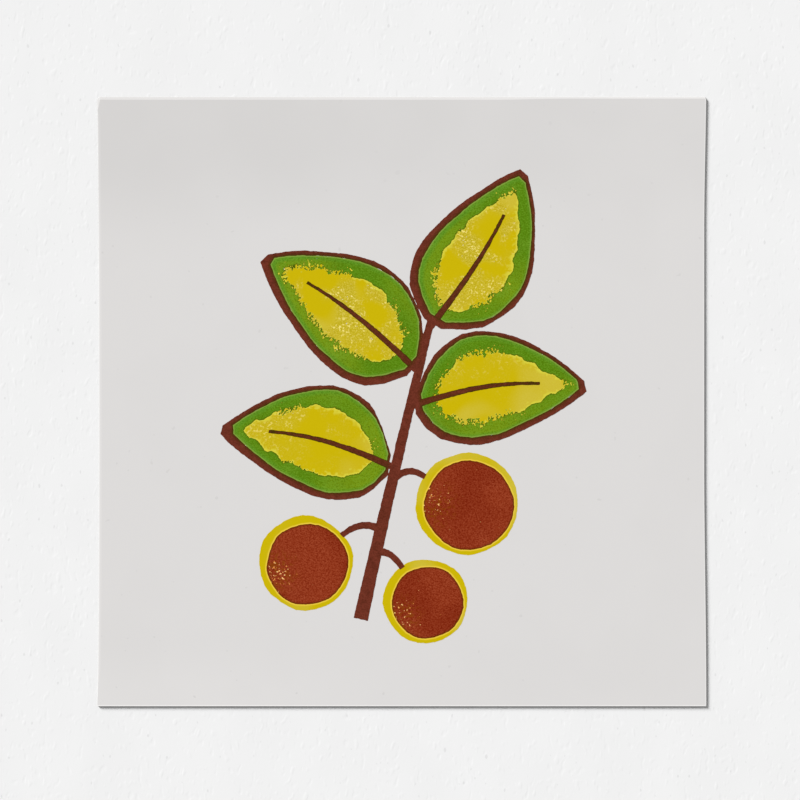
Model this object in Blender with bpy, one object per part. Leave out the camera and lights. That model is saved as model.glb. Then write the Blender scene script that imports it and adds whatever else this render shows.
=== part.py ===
"""Unframed relief print: a square sheet of heavy paper carrying films of dried ink.

The picture is a leaning twig with four leaves and three round berries. Four blocks print it:
yellow leaf hearts and berry halos, green leaf bands, rust berries, and last a brown block with
the stem, the stalks, the leaf outlines and the midribs.

Metres, +Z up. The sheet lies flat with its plain back at z = 0 and the picture facing up, +X to
the picture's right and +Y to its top. The origin is the middle of the back.
"""
import math
import random

import bmesh
import bpy
from mathutils import Matrix, Vector

# The sheet
SHEET_SIDE = 0.200
SHEET_THICKNESS = 0.0005
LEFT_BOW = 0.00066         # how far the left cut bows in
LEFT_SKEW = 0.85           # below 1 moves the deepest place of the bow down from mid height
LEFT_FLATNESS = 0.6        # below 1 flattens the bow
RIGHT_BOW = 0.00068        # how far the right cut bows in
RIGHT_FOOT = (0.002, 0.080)    # the bow sets in over this stretch above the lower corner
RIGHT_HEAD = (-0.008, 0.044)   # and fades over this stretch below the upper corner
SIDE_STEPS = 40
BLUNT_CORNER = 0.0011      # the knocked top left corner
CRISP_CORNER = 0.0003
CORNER_STEPS = 3

# The ink films
FILM_THICKNESS = 0.00006
SEAT_GAP = 0.00002         # hairline between the sheet and a film
REGISTER_GAP = 0.0003      # bare hairline between two inks side by side
FILM_LOW = SHEET_THICKNESS + SEAT_GAP
FILM_HIGH = FILM_LOW + FILM_THICKNESS
CUTTER_REACH = 0.001

# The stem, a curve from its cut foot to its tip, with the width at each end
STEM_FOOT = Vector((-0.0135, -0.0715))
STEM_PULL = Vector((-0.0055, -0.0350))
STEM_TIP = Vector((0.0095, 0.0265))
STEM_WIDTHS = (0.0048, 0.0025)
STEM_STEPS = 12

# Each leaf: place along the stem, heading in degrees, length, width, sideways bend of its axis
LEAVES = (
    (0.98, 59.0, 0.0620, 0.0385, -0.0025),
    (0.86, 144.0, 0.0650, 0.0395, -0.0030),
    (0.76, 6.0, 0.0600, 0.0385, 0.0040),
    (0.57, 168.0, 0.0600, 0.0385, -0.0040),
)
LEAF_FACETS = 8            # straight knife cuts along one flank of a leaf
LEAF_SKEW = 0.74           # below 1 moves the widest place towards the base
LEAF_FULLNESS = 0.82       # below 1 rounds the flanks
LEAF_TAPER = 0.08          # share of the width lost towards the tip
OUTLINE_WIDTH = 0.0021
TIP_WIDTH = 0.00315        # of the outline at the leaf's tip
OUTLINE_SHIFT = Vector((0.0005, 0.0004))   # the clear inside sits to the upper right
RIB_WIDTHS = (0.0024, 0.0010)
RIB_LENGTH = 0.72          # share of the leaf's length
RIB_STEPS = 8

# The yellow heart of a leaf, as shares of the leaf
HEART_START = 0.13
HEART_LENGTH = 0.73
HEART_WIDTH = 0.60
HEART_FACETS = 14
HEART_TOOTH = 0.0006       # how far the torn edge strays from its line
TOOTH_SHARES = (0.4, 1.0)  # least and most share of that for one tooth

# Each berry: where its stalk leaves the stem, centre, radius
BERRIES = (
    (0.53, Vector((0.0220, -0.0340)), 0.0150),
    (0.36, Vector((-0.0310, -0.0535)), 0.0135),
    (0.27, Vector((0.0085, -0.0660)), 0.0120),
)
BERRY_FACETS = 15
HALO_WIDTH = 0.0022
HALO_SHIFT = Vector((-0.0006, 0.0005))
STALK_WIDTHS = (0.0026, 0.0018)
STALK_RISE = 0.0040        # how far a stalk arches upwards
STALK_AIM = 2.0            # rises above its start from where a stalk comes down on the halo
STALK_STEPS = 6

# Knife work
SOFT_CUT = 0.25            # share of an edge that a softened corner takes
STATION_STRAY = 0.22       # how unevenly the facets are spaced, in shares of one facet
WIDTH_STRAY = 0.03
RADIUS_STRAY = 0.025
CUT_SEED = 11

COLOURS = {
    "paper": (0.714, 0.701, 0.687, 1.0),
    "brown_ink": (0.138, 0.030, 0.016, 1.0),
    "green_ink": (0.114, 0.258, 0.009, 1.0),
    "yellow_ink": (0.617, 0.479, 0.007, 1.0),
    "rust_ink": (0.275, 0.037, 0.011, 1.0),
}
ROUGHNESS = {
    "paper": 0.90,
    "brown_ink": 0.50,
    "green_ink": 0.50,
    "yellow_ink": 0.50,
    "rust_ink": 0.50,
}


def clear_scene():
    for item in list(bpy.data.objects):
        bpy.data.objects.remove(item, do_unlink=True)


def make_material(name):
    material = bpy.data.materials.new(name)
    material.use_nodes = True
    shader = material.node_tree.nodes["Principled BSDF"]
    shader.inputs["Base Color"].default_value = COLOURS[name]
    shader.inputs["Roughness"].default_value = ROUGHNESS[name]
    shader.inputs["Metallic"].default_value = 0.0
    return material


# Outlines: closed lists of points in the plane of the sheet, each going round once

def curve_point(start, pull, end, share):
    """Point on a curve that leaves start towards pull and arrives at end from it."""
    rest = 1.0 - share
    return start * rest * rest + pull * (2.0 * share * rest) + end * share * share


def curve_path(start, pull, end, steps):
    return [curve_point(start, pull, end, step / steps) for step in range(steps + 1)]


def stroke_outline(path, widths, grow=0.0):
    """Outline of a line that tapers from the first width to the second, widened by grow."""
    left = []
    right = []
    last = len(path) - 1
    for index, point in enumerate(path):
        along = (path[min(index + 1, last)] - path[max(index - 1, 0)]).normalized()
        across = Vector((-along.y, along.x))
        width = widths[0] + (widths[1] - widths[0]) * index / last
        half = width / 2.0 + grow
        reach = along * grow * ((index == last) - (index == 0))
        left.append(point + across * half + reach)
        right.append(point - across * half + reach)
    return right + left[::-1]


def soften(outline):
    """Cut each corner once, a short way along its two edges."""
    points = []
    for index, point in enumerate(outline):
        following = outline[(index + 1) % len(outline)]
        points.append(point.lerp(following, SOFT_CUT))
        points.append(point.lerp(following, 1.0 - SOFT_CUT))
    return points


def leaf_profile(share):
    """Half width of a leaf at a share of its length: round base, drawn-out tip."""
    return math.sin(math.pi * share ** LEAF_SKEW) ** LEAF_FULLNESS * (1.0 - LEAF_TAPER * share)


def leaf_point(leaf, along, aside):
    """Sheet position of a point given along and aside of the leaf's bent axis."""
    place, heading, length, _, bend = leaf
    base = curve_point(STEM_FOOT, STEM_PULL, STEM_TIP, place)
    arch = bend * math.sin(math.pi * along / length)
    turn = Matrix.Rotation(math.radians(heading), 2)
    return base + turn @ Vector((along, aside + arch))


def leaf_outline(leaf, start, length, width, facets, cut, tooth=0.0):
    """Faceted leaf shape that starts at start along the leaf's axis."""
    points = [leaf_point(leaf, start, 0.0)]
    for side in (-1.0, 1.0):
        flank = []
        for station in range(1, facets):
            share = (station + cut.uniform(-STATION_STRAY, STATION_STRAY)) / facets
            aside = leaf_profile(share) * width / 2.0 * (1.0 + cut.uniform(-WIDTH_STRAY, WIDTH_STRAY))
            aside += tooth * (1.0 if station % 2 else -1.0) * cut.uniform(*TOOTH_SHARES)
            flank.append(leaf_point(leaf, start + share * length, side * max(aside, 0.0)))
        if side > 0.0:
            flank.reverse()
            points.append(leaf_point(leaf, start + length, 0.0))
        points.extend(flank)
    return points


def disc_outline(centre, radius, cut):
    """Round shape cut as a run of short straight facets."""
    points = []
    for facet in range(BERRY_FACETS):
        turn = math.tau * (facet + cut.uniform(-STATION_STRAY, STATION_STRAY)) / BERRY_FACETS
        reach = radius * (1.0 + cut.uniform(-RADIUS_STRAY, RADIUS_STRAY))
        points.append(centre + Vector((math.cos(turn), math.sin(turn))) * reach)
    return soften(points)


def grown(outline, middle, amount):
    """The outline pushed away from a point inside it by an even amount."""
    return [point + (point - middle).normalized() * amount for point in outline]


def smooth_ramp(value, low, high):
    """0 up to low, 1 from high on, and smooth between."""
    share = min(max((value - low) / (high - low), 0.0), 1.0)
    return share * share * (3.0 - 2.0 * share)


def left_bow(up):
    """How far the left side bows in at a height above the lower edge."""
    return LEFT_BOW * math.sin(math.pi * (up / SHEET_SIDE) ** LEFT_SKEW) ** LEFT_FLATNESS


def right_bow(up):
    """How far the right side bows in at a height above the lower edge."""
    return RIGHT_BOW * min(smooth_ramp(up, *RIGHT_FOOT), smooth_ramp(SHEET_SIDE - up, *RIGHT_HEAD))


def sheet_outline():
    """Square cut by hand: straight top and bottom, left and right sides bowed in a little."""
    half = SHEET_SIDE / 2.0
    heights = [SHEET_SIDE * step / SIDE_STEPS for step in range(1, SIDE_STEPS)]
    left_side = [Vector((left_bow(up) - half, up - half)) for up in reversed(heights)]
    right_side = [Vector((half - right_bow(up), up - half)) for up in heights]
    points = []
    for quarter, radius in enumerate((CRISP_CORNER, BLUNT_CORNER, CRISP_CORNER, CRISP_CORNER)):
        turn = Matrix.Rotation(math.radians(90.0 * quarter), 2)
        middle = Vector((half - radius, half - radius))
        for step in range(CORNER_STEPS + 1):
            angle = math.radians(90.0) * step / CORNER_STEPS
            points.append(turn @ (middle + Vector((math.cos(angle), math.sin(angle))) * radius))
        if quarter == 1:
            points.extend(left_side)
        if quarter == 3:
            points.extend(right_side)
    return points


# Solids

def place_object(name, mesh, material=None):
    item = bpy.data.objects.new(name, mesh)
    bpy.context.scene.collection.objects.link(item)
    if material:
        mesh.materials.append(material)
    return item


def slab(name, outline, low, high, material=None):
    """Flat plate with the given outline, from height low to height high."""
    shape = bmesh.new()
    face = shape.faces.new([shape.verts.new((point.x, point.y, low)) for point in outline])
    face.normal_update()
    if face.normal.z > 0.0:
        face.normal_flip()
    lifted = bmesh.ops.extrude_face_region(shape, geom=[face], use_keep_orig=True)
    corners = [part for part in lifted["geom"] if isinstance(part, bmesh.types.BMVert)]
    bmesh.ops.translate(shape, verts=corners, vec=(0.0, 0.0, high - low))
    bmesh.ops.recalc_face_normals(shape, faces=shape.faces)
    mesh = bpy.data.meshes.new(name)
    shape.to_mesh(mesh)
    shape.free()
    return place_object(name, mesh, material)


def film(name, outline, material=None):
    return slab(name, outline, FILM_LOW, FILM_HIGH, material)


def cutter(name, outline):
    """Guide that clears ink from its outline; it isn't part of the print."""
    item = slab(name, outline, FILM_LOW - CUTTER_REACH, FILM_HIGH + CUTTER_REACH)
    item.hide_render = True
    item.display_type = "WIRE"
    return item


def clear_from(item, guides):
    """Cut each of the guides out of an object."""
    for guide in guides:
        modifier = item.modifiers.new(guide.name, "BOOLEAN")
        modifier.operation = "DIFFERENCE"
        modifier.solver = "EXACT"
        modifier.object = guide


def settle(item):
    """Replace an object's mesh by its evaluated one and drop the modifiers."""
    depsgraph = bpy.context.evaluated_depsgraph_get()
    finished = bpy.data.meshes.new_from_object(item.evaluated_get(depsgraph))
    item.modifiers.clear()
    item.data = finished


def join_lines(item, lines):
    """Fuse the overlapping lines into the object, one after the other."""
    for line in lines:
        modifier = item.modifiers.new(line.name, "BOOLEAN")
        modifier.operation = "UNION"
        modifier.solver = "EXACT"
        modifier.object = line
        settle(item)
        bpy.data.objects.remove(line, do_unlink=True)


# The printed twig

def stem_path():
    return curve_path(STEM_FOOT, STEM_PULL, STEM_TIP, STEM_STEPS)


def rib_path(leaf):
    length = leaf[2]
    return [leaf_point(leaf, length * RIB_LENGTH * step / RIB_STEPS, 0.0) for step in range(RIB_STEPS + 1)]


def stalk_path(berry):
    """From the stem in an arch to the rim of the berry's halo."""
    place, centre, radius = berry
    start = curve_point(STEM_FOOT, STEM_PULL, STEM_TIP, place)
    rise = Vector((0.0, STALK_RISE))
    halo = centre + HALO_SHIFT
    aim = (start + STALK_AIM * rise - halo).normalized()
    end = halo + aim * (radius + HALO_WIDTH + REGISTER_GAP)
    return curve_path(start, start.lerp(end, 0.5) + rise, end, STALK_STEPS)


def make_leaf(number, leaf, inks, stem_clear):
    """One leaf's green band and yellow heart; returns its brown outline and midrib."""
    length, width = leaf[2], leaf[3]
    cut = random.Random(CUT_SEED + number)
    edge = soften(leaf_outline(leaf, 0.0, length, width, LEAF_FACETS, cut))
    inner = leaf_outline(leaf, OUTLINE_WIDTH, length - OUTLINE_WIDTH - TIP_WIDTH, width - 2.0 * OUTLINE_WIDTH,
                         LEAF_FACETS, cut)
    inner = [point + OUTLINE_SHIFT for point in soften(inner)]
    heart = leaf_outline(leaf, HEART_START * length, HEART_LENGTH * length, HEART_WIDTH * width,
                         HEART_FACETS, cut, HEART_TOOTH)
    middle = leaf_point(leaf, length / 2.0, 0.0)

    outline = film("outline_%d" % number, edge)
    clear_from(outline, [cutter("inner_%d" % number, inner)])
    rib = film("rib_%d" % number, stroke_outline(rib_path(leaf), RIB_WIDTHS))

    rib_clear = cutter("rib_clear_%d" % number, stroke_outline(rib_path(leaf), RIB_WIDTHS, REGISTER_GAP))
    heart_clear = cutter("heart_clear_%d" % number, grown(heart, middle, REGISTER_GAP))

    green = film("green_leaf_%d" % number, grown(inner, middle, -REGISTER_GAP), inks["green_ink"])
    clear_from(green, [rib_clear, heart_clear, stem_clear])
    yellow = film("yellow_leaf_%d" % number, heart, inks["yellow_ink"])
    clear_from(yellow, [rib_clear])
    return [outline, rib]


def make_berry(number, berry, inks):
    """One rust berry in its yellow halo; returns its brown stalk."""
    centre, radius = berry[1:]
    cut = random.Random(CUT_SEED * 2 + number)
    round_cut = disc_outline(centre, radius, cut)
    halo_cut = disc_outline(centre + HALO_SHIFT, radius + HALO_WIDTH, cut)
    film("rust_berry_%d" % number, round_cut, inks["rust_ink"])
    halo = film("yellow_halo_%d" % number, halo_cut, inks["yellow_ink"])
    berry_clear = cutter("berry_clear_%d" % number, grown(round_cut, centre, REGISTER_GAP))
    clear_from(halo, [berry_clear])
    return film("stalk_%d" % number, stroke_outline(stalk_path(berry), STALK_WIDTHS))


def make_print():
    clear_scene()
    inks = {name: make_material(name) for name in COLOURS}
    slab("paper_sheet", sheet_outline(), 0.0, SHEET_THICKNESS, inks["paper"])

    stem_clear = cutter("stem_clear", stroke_outline(stem_path(), STEM_WIDTHS, REGISTER_GAP))
    lines = []
    for number, leaf in enumerate(LEAVES, 1):
        lines.extend(make_leaf(number, leaf, inks, stem_clear))
    for number, berry in enumerate(BERRIES, 1):
        lines.append(make_berry(number, berry, inks))

    twig = film("brown_twig", stroke_outline(stem_path(), STEM_WIDTHS), inks["brown_ink"])
    join_lines(twig, lines)


make_print()
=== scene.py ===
# %% [markdown]
# # A relief print on a square of heavy paper
# The object is a sheet of printmaking paper that carries four inks, dried to thin films. The packed
# model gives its size and its plain solids. This notebook dresses them: a sheet with hand-cut
# sides, ink with torn and pressed edges, and the grain that a hand-rubbed print has.

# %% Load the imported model
import math
import random

import bmesh
import bpy
import numpy as np
from mathutils import Matrix, Vector
from mathutils.geometry import delaunay_2d_cdt


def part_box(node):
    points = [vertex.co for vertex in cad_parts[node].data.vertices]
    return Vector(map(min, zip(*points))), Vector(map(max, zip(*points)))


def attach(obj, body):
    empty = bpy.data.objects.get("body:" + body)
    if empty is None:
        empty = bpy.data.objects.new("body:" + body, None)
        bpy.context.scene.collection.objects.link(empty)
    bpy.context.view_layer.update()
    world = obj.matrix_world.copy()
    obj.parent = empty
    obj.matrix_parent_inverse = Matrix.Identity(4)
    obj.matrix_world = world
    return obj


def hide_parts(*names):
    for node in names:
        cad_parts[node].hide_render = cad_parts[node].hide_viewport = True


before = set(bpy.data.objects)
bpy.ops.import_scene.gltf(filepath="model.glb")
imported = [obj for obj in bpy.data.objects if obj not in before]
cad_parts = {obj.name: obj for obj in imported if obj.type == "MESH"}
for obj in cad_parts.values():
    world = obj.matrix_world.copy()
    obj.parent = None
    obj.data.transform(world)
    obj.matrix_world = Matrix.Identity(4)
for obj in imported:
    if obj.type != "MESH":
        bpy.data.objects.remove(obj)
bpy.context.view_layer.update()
SHEET_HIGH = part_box("paper_sheet")[1]
HALF_SIDE = SHEET_HIGH.x
SHEET_TOP = SHEET_HIGH.z
MM = 0.001
print("sheet", round(HALF_SIDE * 2 / MM, 2), "mm square,", round(SHEET_TOP / MM, 2), "mm thick")

# %% [markdown]
# ## Camera
# The photograph looks straight down with a long lens, so the sheet shows as a true square. The
# sheet covers 609.2 of the picture's 800 pixels and its middle sits a little right of and below the
# picture's own. Both are turned into millimetres on the sheet, and the camera is moved by them and
# not turned.

# %% Camera
PICTURE_PIXELS = 800
SHEET_PIXELS = 609.2
MIDDLE_RIGHT_PIXELS = 1.73
MIDDLE_DOWN_PIXELS = 1.59
LENS_MM = 100.0
SENSOR_MM = 36.0

pixel = 2 * HALF_SIDE / SHEET_PIXELS
seen_width = PICTURE_PIXELS * pixel
bpy.ops.object.camera_add(rotation=(0.0, 0.0, 0.0), location=(
    -MIDDLE_RIGHT_PIXELS * pixel,
    MIDDLE_DOWN_PIXELS * pixel,
    SHEET_TOP + seen_width * LENS_MM / SENSOR_MM,
))
camera = bpy.context.object
camera.name = "Copy_stand_camera"
camera.data.lens = LENS_MM
camera.data.sensor_width = SENSOR_MM
bpy.context.scene.camera = camera
print("one pixel is", round(pixel / MM, 3), "mm, the picture is", round(seen_width / MM, 1), "mm wide")

# %% [markdown]
# ## Light and floor
# A dark line lies along the right and lower edges of the sheet and none along the others, so the
# main light is low and comes from the upper left. It is a sun lamp, because its light is as strong
# on the near corner as on the far one. The width of the dark line and of its soft border give the
# sun's height and its spread. A plain white world fills the rest, and the standard view transform
# keeps the ink colours as they are measured. The floor is one plane, far wider than the picture.

# %% Light
SUN_HEADING = 135.5         # degrees, turned from the picture's right
SUN_HEIGHT = 20.9           # degrees
SUN_SPREAD = 20.5           # degrees
SUN_STRENGTH = 6.75
SUN_PLACE = (-0.5, 0.5, 0.3)    # any place would do: a sun has only a direction
FILL_STRENGTH = 0.34
WHITE = (1.0, 1.0, 1.0, 1.0)

bpy.ops.object.light_add(type="SUN", location=SUN_PLACE)
sun = bpy.context.object
sun.name = "Window_light"
turn, tilt = math.radians(SUN_HEADING), math.radians(SUN_HEIGHT)
toward_sun = Vector((math.cos(turn) * math.cos(tilt), math.sin(turn) * math.cos(tilt), math.sin(tilt)))
sun.rotation_euler = toward_sun.to_track_quat("Z", "Y").to_euler()
sun.data.energy = SUN_STRENGTH
sun.data.angle = math.radians(SUN_SPREAD)

world = bpy.data.worlds.new("White_room")
world.use_nodes = True
background = world.node_tree.nodes["Background"]
background.inputs["Strength"].default_value = FILL_STRENGTH
background.inputs["Color"].default_value = WHITE
bpy.context.scene.world = world
bpy.context.scene.view_settings.view_transform = "Standard"
print("the sun stands", SUN_HEIGHT, "degrees high")

# %% Floor
FLOOR_SIZE = 8.0
FLOOR_GAP = 0.02 * MM

bpy.ops.mesh.primitive_plane_add(size=FLOOR_SIZE, location=(0.0, 0.0, -FLOOR_GAP))
floor = bpy.context.object
floor.name = "Floor"

# %% [markdown]
# ## The drawing on the blocks
# The picture is a leaning twig. Its stem is one bent line, every leaf springs from a point on it,
# and every berry hangs from it on a stalk. An outline is a plain list of points, as a knife goes
# round a block. It could be drawn by hand in edit mode, but then it would not sit on the packed
# solids. So the sizes are those of the CAD model, and the last cell of this step compares the two.
# Only the stalks are longer here, because they run on over the halos.

# %% Stem
STEM_FOOT = Vector((-0.0135, -0.0715))
STEM_PULL = Vector((-0.0055, -0.0350))
STEM_TIP = Vector((0.0095, 0.0265))
STEM_WIDTHS = (0.0048, 0.0025)
STEM_STEPS = 12


def curve_point(start, pull, end, share):
    """Point on a curve that leaves start towards pull and arrives at end from it."""
    rest = 1.0 - share
    return start * rest * rest + pull * (2.0 * share * rest) + end * share * share


def curve_path(start, pull, end, steps):
    return [curve_point(start, pull, end, step / steps) for step in range(steps + 1)]


def stem_point(share):
    return curve_point(STEM_FOOT, STEM_PULL, STEM_TIP, share)


def stroke_outline(path, widths):
    """Outline of a line that tapers from the first width to the second."""
    left, right = [], []
    last = len(path) - 1
    for index, point in enumerate(path):
        along = (path[min(index + 1, last)] - path[max(index - 1, 0)]).normalized()
        across = Vector((-along.y, along.x)) * (widths[0] + (widths[1] - widths[0]) * index / last) / 2.0
        left.append(point + across)
        right.append(point - across)
    return right + left[::-1]


stem = stroke_outline(curve_path(STEM_FOOT, STEM_PULL, STEM_TIP, STEM_STEPS), STEM_WIDTHS)

# %% Knife work
SOFT_CUT = 0.25             # share of an edge that a softened corner takes
STATION_STRAY = 0.22        # how unevenly the facets are spaced, in shares of one facet
WIDTH_STRAY = 0.03
RADIUS_STRAY = 0.025
CUT_SEED = 11


def soften(outline):
    """Cut each corner once, a short way along its two edges."""
    points = []
    for index, point in enumerate(outline):
        following = outline[(index + 1) % len(outline)]
        points.append(point.lerp(following, SOFT_CUT))
        points.append(point.lerp(following, 1.0 - SOFT_CUT))
    return points


# %% Shape of a leaf
LEAF_SKEW = 0.74            # below 1 moves the widest place towards the base
LEAF_FULLNESS = 0.82        # below 1 rounds the flanks
LEAF_TAPER = 0.08           # share of the width lost towards the tip
TOOTH_SHARES = (0.4, 1.0)   # least and most share of a torn edge's stray for one tooth


def leaf_profile(share):
    """Half width of a leaf at a share of its length: round base, drawn-out tip."""
    return math.sin(math.pi * share ** LEAF_SKEW) ** LEAF_FULLNESS * (1.0 - LEAF_TAPER * share)


def leaf_point(leaf, along, aside):
    """Sheet position of a point given along and aside of the leaf's bent axis."""
    place, heading, length, _, bend = leaf
    arch = bend * math.sin(math.pi * along / length)
    return stem_point(place) + Matrix.Rotation(math.radians(heading), 2) @ Vector((along, aside + arch))


def leaf_outline(leaf, start, length, width, facets, cut, tooth=0.0):
    """Faceted leaf shape that starts at start along the leaf's axis."""
    points = [leaf_point(leaf, start, 0.0)]
    for side in (-1.0, 1.0):
        flank = []
        for station in range(1, facets):
            share = (station + cut.uniform(-STATION_STRAY, STATION_STRAY)) / facets
            aside = leaf_profile(share) * width / 2.0 * (1.0 + cut.uniform(-WIDTH_STRAY, WIDTH_STRAY))
            aside += tooth * (1.0 if station % 2 else -1.0) * cut.uniform(*TOOTH_SHARES)
            flank.append(leaf_point(leaf, start + share * length, side * max(aside, 0.0)))
        if side > 0.0:
            flank.reverse()
            points.append(leaf_point(leaf, start + length, 0.0))
        points.extend(flank)
    return points


# %% Draw the leaves
# place along the stem, heading in degrees, length, width, sideways bend of the axis
LEAVES = (
    (0.98, 59.0, 0.0620, 0.0385, -0.0025),
    (0.86, 144.0, 0.0650, 0.0395, -0.0030),
    (0.76, 6.0, 0.0600, 0.0385, 0.0040),
    (0.57, 168.0, 0.0600, 0.0385, -0.0040),
)
LEAF_FACETS = 8
OUTLINE_WIDTH = 0.0021
TIP_WIDTH = 0.00315         # of the outline at the leaf's tip
OUTLINE_SHIFT = Vector((0.0005, 0.0004))    # the clear inside sits to the upper right
RIB_WIDTHS = (0.0024, 0.0010)
RIB_LENGTH = 0.72           # share of the leaf's length
RIB_STEPS = 8
# the heart, as shares of the leaf
HEART_START = 0.13
HEART_LENGTH = 0.73
HEART_WIDTH = 0.60
HEART_FACETS = 14
HEART_TOOTH = 0.0006        # how far its torn edge strays from its line


def draw_leaf(number, leaf):
    """Outer edge, clear inside, heart and midrib of one leaf, cut in the order of the CAD model."""
    length, width = leaf[2:4]
    cut = random.Random(CUT_SEED + number)
    edge = leaf_outline(leaf, 0.0, length, width, LEAF_FACETS, cut)
    inner = leaf_outline(leaf, OUTLINE_WIDTH, length - OUTLINE_WIDTH - TIP_WIDTH,
                         width - 2.0 * OUTLINE_WIDTH, LEAF_FACETS, cut)
    heart = leaf_outline(leaf, HEART_START * length, HEART_LENGTH * length, HEART_WIDTH * width,
                         HEART_FACETS, cut, HEART_TOOTH)
    rib = [leaf_point(leaf, length * RIB_LENGTH * step / RIB_STEPS, 0.0) for step in range(RIB_STEPS + 1)]
    return {"edge": soften(edge), "inner": [point + OUTLINE_SHIFT for point in soften(inner)],
            "heart": heart, "rib": stroke_outline(rib, RIB_WIDTHS)}


leaves = [draw_leaf(number, leaf) for number, leaf in enumerate(LEAVES, 1)]

# %% Draw the berries
# stalk's place on the stem, centre, radius
BERRIES = (
    (0.53, Vector((0.0220, -0.0340)), 0.0150),
    (0.36, Vector((-0.0310, -0.0535)), 0.0135),
    (0.27, Vector((0.0085, -0.0660)), 0.0120),
)
BERRY_FACETS = 15
HALO_WIDTH = 0.0022
HALO_SHIFT = Vector((-0.0006, 0.0005))
REGISTER_GAP = 0.0003       # between two inks of the CAD model
STALK_WIDTHS = (0.0026, 0.0018)
STALK_RISE = Vector((0.0, 0.0040))
STALK_AIM = 2.0             # rises above its start from where a stalk comes down on the halo
STALK_STEPS = 6
STALK_RUN_ON = 0.0012       # past the end of the CAD solid, on to the halo


def disc_outline(centre, radius, cut):
    """Round shape cut as a run of short straight facets."""
    points = []
    for facet in range(BERRY_FACETS):
        turn = math.tau * (facet + cut.uniform(-STATION_STRAY, STATION_STRAY)) / BERRY_FACETS
        reach = radius * (1.0 + cut.uniform(-RADIUS_STRAY, RADIUS_STRAY))
        points.append(centre + Vector((math.cos(turn), math.sin(turn))) * reach)
    return soften(points)


def draw_berry(number, berry):
    """Berry, halo and stalk."""
    place, centre, radius = berry
    cut = random.Random(CUT_SEED * 2 + number)
    round_cut = disc_outline(centre, radius, cut)
    halo_centre = centre + HALO_SHIFT
    halo_cut = disc_outline(halo_centre, radius + HALO_WIDTH, cut)
    start = stem_point(place)
    aim = (start + STALK_AIM * STALK_RISE - halo_centre).normalized()
    end = halo_centre + aim * (radius + HALO_WIDTH + REGISTER_GAP)
    stalk = curve_path(start, start.lerp(end, 0.5) + STALK_RISE, end, STALK_STEPS)
    stalk.append(end - aim * STALK_RUN_ON)
    return {"round": round_cut, "halo": halo_cut, "stalk": stroke_outline(stalk, STALK_WIDTHS),
            "centre": centre, "radius": radius}


berries = [draw_berry(number, berry) for number, berry in enumerate(BERRIES, 1)]


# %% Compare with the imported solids
def box_error(outline, node):
    """Largest distance between an outline's box and a CAD node's, in millimetres."""
    low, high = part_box(node)
    xs, ys = [point.x for point in outline], [point.y for point in outline]
    gaps = (min(xs) - low.x, min(ys) - low.y, max(xs) - high.x, max(ys) - high.y)
    return round(max(abs(gap) for gap in gaps) / MM, 3)


for label, part, drawn, node in (
    ("heart", "heart", leaves, "yellow_leaf_%d"),
    ("berry", "round", berries, "rust_berry_%d"),
):
    for number, shape in enumerate(drawn, 1):
        print(label, number, "is off the CAD node by", box_error(shape[part], node % number), "mm")

# %% [markdown]
# ## Ink as a landscape
# A torn edge or a drift of bare specks has far too many corners to draw with a tool. So each film
# starts as a landscape: a fine grid of heights, in millimetres, with ink wherever the height is
# above zero. A cut outline gives the distance to its edge, smooth noise roughens that edge, and
# sharper noise digs holes. The shore line at zero is then the outline of the film, with every hole
# and crumb in it.

# %% Patches of grid
CELL = 0.12 * MM


def between(values, columns, rows, u, v):
    """Values inside the cells of a grid, from those at the cells' corners."""
    (left, right), (low, high) = columns, rows
    lower = values[low, left] * (1 - u) + values[low, right] * u
    upper = values[high, left] * (1 - u) + values[high, right] * u
    return lower * (1 - v) + upper * v


class Patch:
    """Grid of sample places round some outlines."""

    def __init__(self, outlines, margin):
        corners = [point for outline in outlines for point in outline]
        self.low = Vector((min(p.x for p in corners) - margin, min(p.y for p in corners) - margin))
        high = Vector((max(p.x for p in corners) + margin, max(p.y for p in corners) + margin))
        columns = np.arange(math.ceil((high.x - self.low.x) / CELL) + 1)
        rows = np.arange(math.ceil((high.y - self.low.y) / CELL) + 1)
        self.x, self.y = np.meshgrid(self.low.x + columns * CELL, self.low.y + rows * CELL)

    def read(self, heights, points):
        """Heights at any points inside the patch."""
        places = (np.array([point.to_tuple() for point in points]) - np.array(self.low)) / CELL
        cells = np.clip(places.astype(int), 0, np.array(heights.shape)[::-1] - 2)
        (u, v), (column, row) = (places - cells).T, cells.T
        return between(heights, (column, column + 1), (row, row + 1), u, v)


# %% Distance to an outline
FAR = 9.0                   # millimetres; past it no distance is worked out


def depth_in(patch, outline, reach=FAR * MM):
    """Distance in millimetres to the outline, above zero inside it."""
    xs, ys = [point.x for point in outline], [point.y for point in outline]
    left, right = np.searchsorted(patch.x[0], (min(xs) - reach, max(xs) + reach))
    lower, upper = np.searchsorted(patch.y[:, 0], (min(ys) - reach, max(ys) + reach))
    x, y = patch.x[lower:upper, left:right], patch.y[lower:upper, left:right]
    nearest = np.full(x.shape, reach)
    inside = np.zeros(x.shape, dtype=bool)
    for index, end in enumerate(outline):
        start = outline[index - 1]
        run = end - start
        share = ((x - start.x) * run.x + (y - start.y) * run.y) / run.length_squared
        share = np.clip(share, 0.0, 1.0)
        nearest = np.minimum(nearest, np.hypot(x - start.x - share * run.x, y - start.y - share * run.y))
        if abs(run.y) > 0.0:
            crosses = (start.y > y) != (end.y > y)
            inside ^= crosses & (x < start.x + (y - start.y) * run.x / run.y)
    depth = np.full(patch.x.shape, -reach)
    depth[lower:upper, left:right] = np.where(inside, nearest, -nearest)
    return depth / MM


# %% Smooth noise
NOISE_TILE = 97             # bumps after which the noise repeats


def smooth(share):
    """Ease a share in at 0 and out at 1."""
    return share * share * (3 - 2 * share)


def ramp(values, low, high):
    """0 up to low, 1 from high on, and smooth between."""
    return smooth(np.clip((values - low) / (high - low), 0.0, 1.0))


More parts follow.
